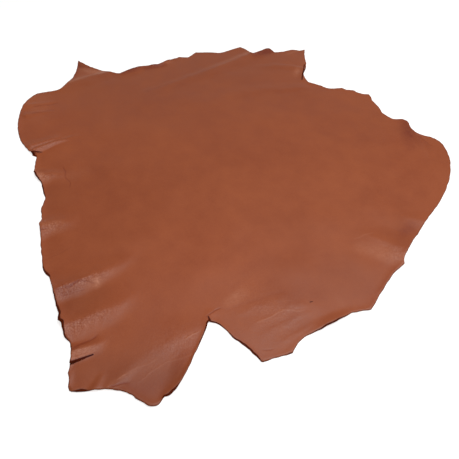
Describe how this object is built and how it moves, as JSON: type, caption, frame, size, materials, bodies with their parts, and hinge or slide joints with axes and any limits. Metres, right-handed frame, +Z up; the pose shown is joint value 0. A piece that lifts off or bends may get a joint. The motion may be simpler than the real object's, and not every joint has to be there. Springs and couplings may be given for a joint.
{
  "type": "leather hide",
  "caption": "Small whole leather hide with a trimmed natural outline, lying flat with soft folds and raised edges.",
  "frame": {"origin": "under the middle of the hide's bounding box, on the surface it lies on", "axes": "+Z up from the surface, +Y from the hind legs towards the neck, +X towards the right fore shank, seen from above"},
  "size_m": [0.948, 0.967, 0.0115],
  "materials": {
    "hide": "smooth satin, chestnut tan"
  },
  "bodies": {
    "root": {"hide": "hide"}
  },
  "joints": []
}
